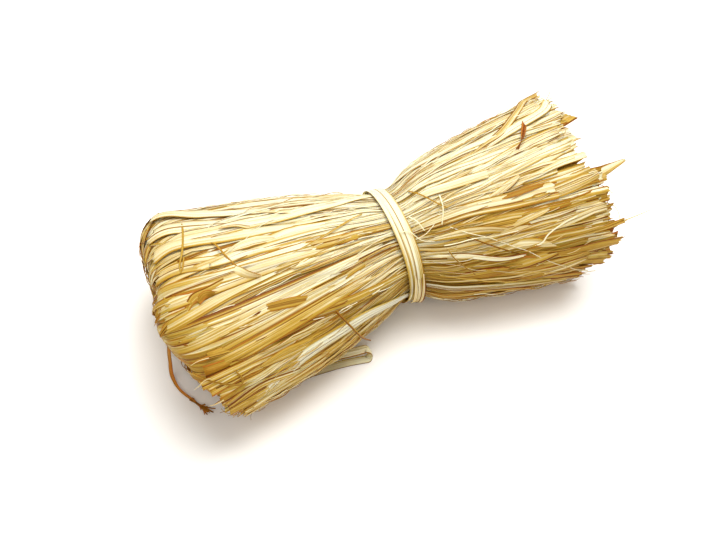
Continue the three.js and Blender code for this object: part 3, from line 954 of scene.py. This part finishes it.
STANDING_OUT = [
    # X and angle of places along it, lifts from end to end, width, twist and tint
    # golden strand bent like a hairpin near the fold
    ([(-107, 122), (-109, 110), (-112, 99), (-115, 92), (-116, 87)],
     [3.0, 3.8, 4.0, 3.4], 1.0, 0.4, 0.34),
    ([(-116, 87), (-114, 90), (-112, 96)], [3.4, 3.8, 3.2], 0.8, 0.2, 0.34),
    # thin brown strand and the curl that it ends under
    ([(-98, 100), (-96, 96), (-93, 86), (-89, 77)], [2.8, 3.8, 3.8, 3.2], 0.9, 0.2, 0.48),
    ([(-94, 79), (-91, 77), (-87, 72), (-82, 69)], [2.8, 3.8, 4.8, 4.0], 4.5, 1.0, 0.14),
    # wide strips that run straight out to the upper corner of the folded end
    ([(-35, 112), (-70, 118), (-95, 127), (-110, 136), (-119, 142)],
     [1.0, 2.4, 2.8, 3.2, 3.2], 9.0, 0.05, 0.1),
    ([(-45, 103), (-78, 109), (-104, 117), (-116, 122), (-122, 125)],
     [1.0, 2.4, 2.8, 3.2, 3.2], 10.0, 0.05, 0.08),
    ([(-40, 95), (-72, 98), (-100, 103), (-116, 107), (-123, 108)],
     [1.0, 2.6, 3.0, 3.4, 3.6], 9.0, 0.05, 0.12),
    ([(-70, 80), (-90, 84), (-108, 89), (-118, 91), (-125, 92)],
     [1.0, 2.6, 2.8, 3.2, 3.4], 8.0, 0.05, 0.14),
    # wide pale strips with a raised edge
    ([(-66, 101), (-76, 104), (-82, 107), (-90, 108)], [1.2, 3.0, 3.6, 3.8], 6.0, 0.25, 0.12),
    ([(-58, 88), (-73, 91), (-84, 91), (-97, 90)], [1.2, 3.0, 3.4, 1.4], 7.0, 0.22, 0.14),
    ([(-123, 50), (-115, 54), (-101, 54), (-85, 54), (-60, 51)], [1.6, 3.4, 3.4, 1.2], 6.0, 0.1, 0.06),
    # torn golden strip over the fold, and a curled tab on it
    ([(-123, 61), (-119, 66), (-114, 71), (-106, 72), (-92, 75), (-80, 76)],
     [1.6, 3.4, 3.4, 1.2], 4.4, 0.2, 0.2),
    ([(-113, 68), (-109, 70), (-105, 69)], [3.2, 4.8, 4.0], 3.6, 0.9, 0.3),
    # orange strip and a tan one, each between pale neighbours
    ([(-96, 54), (-82, 51), (-66, 47), (-48, 41)], [1.0, 3.7, 3.7, 1.0], 4.8, 0.1, 0.24),
    ([(-44, 74), (-38, 74), (-25, 74), (-10, 73)], [0.8, 3.0, 2.9, 1.8], 5.0, 0.1, 0.34),
    # long thread across the left half
    ([(-82, 73), (-65, 75), (-43, 81), (-20, 92)], [2.9, 3.4, 3.4, 2.9], 0.9, 0.3, 0.4),
    # thread that leaves the tie at the top
    ([(10, 102), (13, 92), (19, 76), (23, 69)], [3.0, 4.2, 4.2, 3.4], 0.8, 0.2, 0.45),
    # folded corner at the top of the cut end
    ([(40, 104), (56, 108), (69, 112), (85, 128), (97, 146), (104, 143)],
     [1.0, 3.2, 3.6, 4.0], 4.5, 0.3, 0.3),
    ([(49, 102), (66, 107), (79, 110), (94, 113), (100, 118)], [1.0, 3.2, 3.8, 4.4], 6.0, 0.2, 0.06),
    # orange curl, frayed pale strip, and orange-brown folds below it
    ([(82, 111), (77, 101), (74, 96), (69, 91)], [3.2, 4.6, 4.4, 3.2], 2.6, 1.3, 0.62),
    ([(6, 90), (14, 89), (29, 85), (49, 82)], [1.5, 2.8, 3.4, 3.8], 5.0, 0.2, 0.1),
    ([(84, 62), (70, 63), (54, 63), (38, 65)], [0.8, 3.3, 3.3, 0.8], 2.6, 0.3, 0.42),
    ([(48, 49), (64, 48), (80, 47), (96, 48)], [0.8, 3.2, 3.2, 1.0], 2.8, 0.3, 0.34),
    # strips fallen across the front
    ([(4, 48), (22, 48), (36, 46), (47, 42)], [1.4, 3.0, 3.6, 4.2], 4.5, 0.4, 0.08),
    ([(4, 34), (24, 30), (42, 22), (55, 21)], [1.4, 3.0, 3.6, 4.0], 3.6, 0.5, -0.02),
    ([(40, 17), (69, 15), (87, 14), (99, 14), (107, 14)], [0.8, 3.0, 3.4, 3.8], 6.0, 0.3, 0.2),
    # thin strands across the right half
    ([(60, 25), (65, 27), (69, 32), (77, 36), (86, 38)], [2.8, 3.8, 4.4, 3.6], 0.8, 0.3, -0.08),
    ([(28, 44), (41, 32), (56, 20)], [3.0, 4.0, 3.2], 0.8, 0.3, 0.22),
    ([(18, 36), (21, 27), (29, 12)], [3.0, 4.0, 3.2], 0.8, 0.3, 0.15),
    ([(22, 82), (21, 70), (18, 58)], [3.0, 4.0, 3.2], 0.7, 0.3, 0.0),
    # split fibres over the tie
    ([(-5, 63), (1, 60), (7, 50), (13, 46)], [6.0, 6.4, 6.0, 4.0], 0.5, 0.2, -0.05),
    ([(4, 74), (8, 66), (10, 57)], [5.6, 7.0, 5.6], 0.5, 0.2, -0.05),
    ([(4, 52), (10, 54), (15, 60)], [6.0, 6.4, 5.0], 0.5, 0.2, -0.05),
]
HIDDEN_LIFT = 2.0  # an end that is lower than this is tucked between other strips
SKIRT_THREAD = [(-126, 36), (-118, 27), (-106, 18), (-104, 21), (-106, 27)]


def standing_leaf(places, lifts, width, twist, spine=FOLDED_SPINE):
    rows = 9 * len(places)
    x, degrees = through(places, rows).T
    angle = np.radians(degrees)
    part = np.linspace(0, 1, rows)
    points, outward = path_at(x, angle, through(lifts, rows), spine)
    widths = width * (1 + slow_wave(x, 40, 0.08))
    if lifts[0] < HIDDEN_LIFT:
        widths = widths * np.clip(0.15 + 2.2 * part, 0, 1)
    if lifts[-1] < HIDDEN_LIFT:
        widths = widths * np.clip(0.15 + 2.2 * (1 - part), 0, 1)
    columns = 7 if width > 2 else 2
    pleat = widths / columns * chance.uniform(0.06, 0.16)
    roll = twist * (2 * part - 0.5) + slow_wave(x, 60, 0.05)
    return leaf(points, outward, widths, columns, pleat, roll, 0.05, 0.0, 0.3 * width, 0.25 * width,
                roundness_at(x, angle, spine))


def skirt_places(degrees):
    """Places along a wide strip of the skirt, from its cut left end to where it is tucked in."""
    first = -123 + 0.42 * (SKIRT_TO - degrees) + chance.uniform(-3, 3)
    bend = chance.normal(0, 2)
    tucked_in = (-45, 0.9 * degrees - 2)
    return [(first, degrees), (first + 20, degrees + bend), (first + 45, degrees - bend), tucked_in]


SKIRT_STRIPS = 10
standing_strips = []
for number in range(SKIRT_STRIPS):
    places = skirt_places(SKIRT_TO - 3 - 5.2 * number)
    lifts = [2.6 + chance.uniform(-0.3, 0.8), 3.0, 2.6, 0.8]
    grid, up = standing_leaf(places, lifts, chance.uniform(4.0, 7.5), chance.normal(0, 0.12), CUT_SPINE)
    standing_strips.append((grid, up, chance.uniform(-0.03, 0.1)))
for places, lifts, width, twist, tint in STANDING_OUT:
    grid, up = standing_leaf(places, lifts, width, twist)
    standing_strips.append((grid, up, tint))
grid, up = standing_leaf(SKIRT_THREAD, [3.4, 3.8, 4.2, 3.6], 0.8, 0.2, CUT_SPINE)
standing_strips.append((grid, up, 0.15))
END_LOOP = [[98, -20, 52], [105, -24, 55], [109, -32, 58.5],
            [110, -38, 52], [108, -32, 40], [101, -26, 33]]
grid, up = loose_leaf(END_LOOP, [1, -0.3, 0.2], 0.8, 2, 0.05, 0.3)
standing_strips.append((grid, up, -0.05))
inner_layer("standing_strips", standing_strips)


# Torn scraps on the rim of the folded end

def rim_scrap():
    rows = 14
    part = np.linspace(0, 1, rows)
    share = chance.uniform(0.18, 0.25) - chance.uniform(0.04, 0.1) * part
    angle = math.radians(chance.uniform(58, 150)) + chance.normal(0, 0.12) * part
    lift = 1.6 + chance.uniform(0.6, 2.2) * part
    points, outward = path_on_bundle(FOLDED_SPINE, share, angle, lift)
    width = chance.uniform(1.2, 5.0) * (1 - 0.5 * part ** 2)
    roll = chance.normal(0, 0.3) * part
    return leaf(points, outward, width, 3, 0.1 * width, roll, 0.1, 0.1, 1.0, 0.8)


RIM_SCRAPS = 34
inner_layer("rim_scraps", many_strips(RIM_SCRAPS, rim_scrap, lambda: chance.uniform(0.1, 0.3)))


# Fine fibres that have split off the strips

def fine_fibre():
    rows = 26
    middle = chance.uniform(-105, 90)
    length = chance.uniform(12, 45)
    x = np.linspace(max(middle - length, -108), min(middle + length, 98), rows)
    lean = chance.normal(0, 0.06) if chance.random() < 0.85 else chance.normal(0, 0.3)
    sway = lean * (x - middle) + slow_wave(x, 50, 1.0)
    angle = chance.uniform(0, FULL_TURN) + sway / 42
    near_waist = np.clip((np.abs(x) - 8) / 16, 0, 1)
    lift = 2.2 + near_waist * (0.5 + np.abs(slow_wave(x, 40, 1.2)))
    points, outward = path_at(x, angle, lift)
    width = np.full(rows, chance.uniform(0.25, 0.55))
    return leaf(points, outward, width, 1, np.zeros(rows), slow_wave(x, 60, 1.0))


FINE_FIBRES = 200
inner_layer("fine_fibres", many_strips(FINE_FIBRES, fine_fibre, lambda: chance.uniform(-0.15, 0.25)))


# Frayed ends

def frayed_fibre(place, direction, outward, length, spread, full_width):
    """A fibre that leaves the end of a strip and curls away."""
    rows = 8
    part = np.linspace(-0.4, 1, rows)[:, None]
    direction = direction / np.linalg.norm(direction)
    lean, curl = chance.normal(0, spread, (2, 3))
    points = place + length * (part * direction + part ** 2 * lean + part ** 3 * curl)
    width = full_width * np.linspace(1, 0.4, rows) * chance.uniform(0.7, 1.4)
    return leaf(points, np.tile(outward, (rows, 1)), width, 1, np.zeros(rows))


CUT_END_FIBRES = 130
SKIRT_FIBRES = 60
TUFT_FIBRES = 26
frayed_ends = []
for tips, count in ((cut_tips, CUT_END_FIBRES), (skirt_tips, SKIRT_FIBRES)):
    for pick in chance.integers(0, len(tips), count):
        place, direction, outward = tips[pick]
        place = place + chance.normal(0, 1.0, 3)
        grid, up = frayed_fibre(place, direction, outward, chance.uniform(3, 8), 0.2, 0.6)
        frayed_ends.append((grid, up, chance.uniform(-0.1, 0.35)))
inner_layer("frayed_ends", frayed_ends)

dangling_tuft = []
end_direction = np.subtract(DANGLING[-1], DANGLING[-2])
for number in range(TUFT_FIBRES):
    grid, up = frayed_fibre(np.array(DANGLING[-1]), end_direction, np.array([0, 0, 1.0]),
                            chance.uniform(5, 9), 0.22, 1.1)
    dangling_tuft.append((grid, up, chance.uniform(-0.1, 0.06)))
joined_strips("dangling_tuft", dangling_tuft, red_brown_leaf, "dangling_strip")


# Floor, light and camera

floor_mesh = bpy.data.meshes.new("floor")
floor_shape = bmesh.new()
bmesh.ops.create_grid(floor_shape, x_segments=1, y_segments=1, size=3.0)
floor_shape.to_mesh(floor_mesh)
floor_shape.free()
floor = new_object("floor", floor_mesh)
floor_paint = bpy.data.materials.new("floor_paint")
floor_paint.use_nodes = True
floor_shader = floor_paint.node_tree.nodes["Principled BSDF"]
floor_shader.inputs["Base Color"].default_value = (0.94, 0.94, 0.94, 1)
floor_shader.inputs["Roughness"].default_value = 0.8
floor_mesh.materials.append(floor_paint)

scene = bpy.context.scene
world = bpy.data.worlds.new("studio")
scene.world = world
world.use_nodes = True
background = world.node_tree.nodes["Background"]
background.inputs["Color"].default_value = (1, 0.95, 0.86, 1)
background.inputs["Strength"].default_value = 0.6


LIGHT_TARGET = Vector((0, 0, 0.03))


def area_light(name, place, size, power, tone):
    """A square light, with its side in metres and its power in watts."""
    lamp = bpy.data.lights.new(name, "AREA")
    lamp.size = size
    lamp.energy = power
    lamp.color = tone
    lamp_object = new_object(name, lamp)
    lamp_object.location = place
    lamp_object.rotation_euler = (LIGHT_TARGET - Vector(place)).to_track_quat("-Z", "Y").to_euler()


area_light("key", (0.18, 0.14, 1.08), 0.9, 16.0, (1, 0.99, 0.97))
area_light("fill", (-0.3, -0.7, 0.9), 0.8, 3.0, (1, 0.95, 0.87))

CAMERA_AZIMUTH = -20.0
CAMERA_ELEVATION = 52.0
CAMERA_LENS = 65.0
CAMERA_DISTANCE = 0.685
CAMERA_TARGET = Vector((-0.01971, 0.00028, 0.028))

camera_data = bpy.data.cameras.new("camera")
camera_data.lens = CAMERA_LENS
camera_data.sensor_width = 36
camera_data.sensor_fit = "HORIZONTAL"
camera_data.clip_start = 0.01
camera = new_object("camera", camera_data)
turn, tilt = math.radians(CAMERA_AZIMUTH), math.radians(CAMERA_ELEVATION)
level = math.cos(tilt)
towards_camera = Vector((math.sin(turn) * level, -math.cos(turn) * level, math.sin(tilt)))
camera.location = CAMERA_TARGET + towards_camera * CAMERA_DISTANCE
camera.rotation_euler = towards_camera.to_track_quat("Z", "Y").to_euler()
scene.camera = camera

scene.view_settings.view_transform = "Standard"
